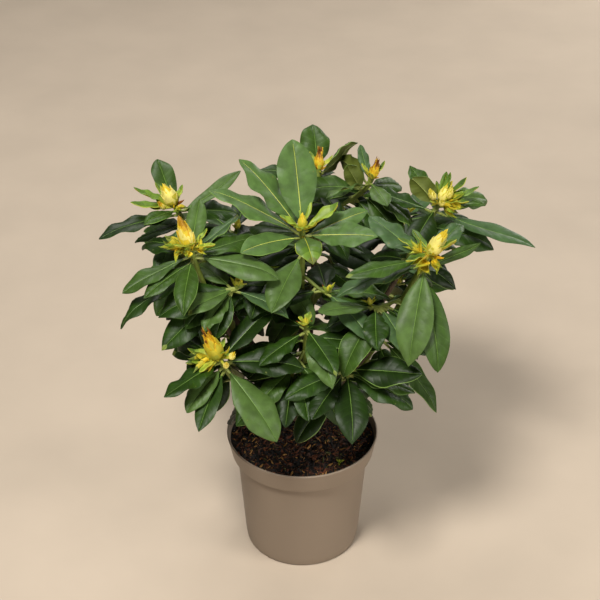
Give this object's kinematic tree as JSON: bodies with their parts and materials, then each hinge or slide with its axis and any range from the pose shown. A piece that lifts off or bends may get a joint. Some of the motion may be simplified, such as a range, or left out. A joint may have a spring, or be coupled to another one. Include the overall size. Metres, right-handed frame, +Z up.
{
  "type": "potted rhododendron",
  "caption": "Young evergreen shrub with leathery leaves in whorls and breaking yellow buds, in a round tapered pot with a plain rim band, filled with compost.",
  "frame": {"origin": "middle of the pot's flat underside", "axes": "+Z up along the pot's axis, -Y towards the usual view, +X to the right in it"},
  "size_m": [0.5911, 0.4894, 0.6307],
  "materials": {
    "pot": "satin taupe moulded plastic",
    "compost": "dark moist peat with bark chips and fibres",
    "bark": "olive green to brown young bark",
    "foliage": "leathery, half-gloss green leaves with pale midribs and yellow buds"
  },
  "bodies": {
    "root": {"pot": "pot", "compost": "compost", "trunk": "bark", "bough_upper_left": "bark", "bough_left": "bark", "bough_lower_left": "bark", "bough_centre_top": "bark", "bough_front": "bark", "bough_back_top": "bark", "bough_upper_right": "bark", "bough_right": "bark", "bough_lower_right": "bark", "bough_low_right": "bark", "bough_back_left": "bark", "bough_back_right": "bark", "bough_back_low": "bark", "upper_left": "foliage", "left": "foliage", "lower_left": "foliage", "centre_top": "foliage", "front": "foliage", "back_top": "foliage", "upper_right": "foliage", "right": "foliage", "lower_right": "foliage", "low_right": "foliage", "back_left": "foliage", "back_right": "foliage", "back_low": "foliage"}
  },
  "joints": []
}
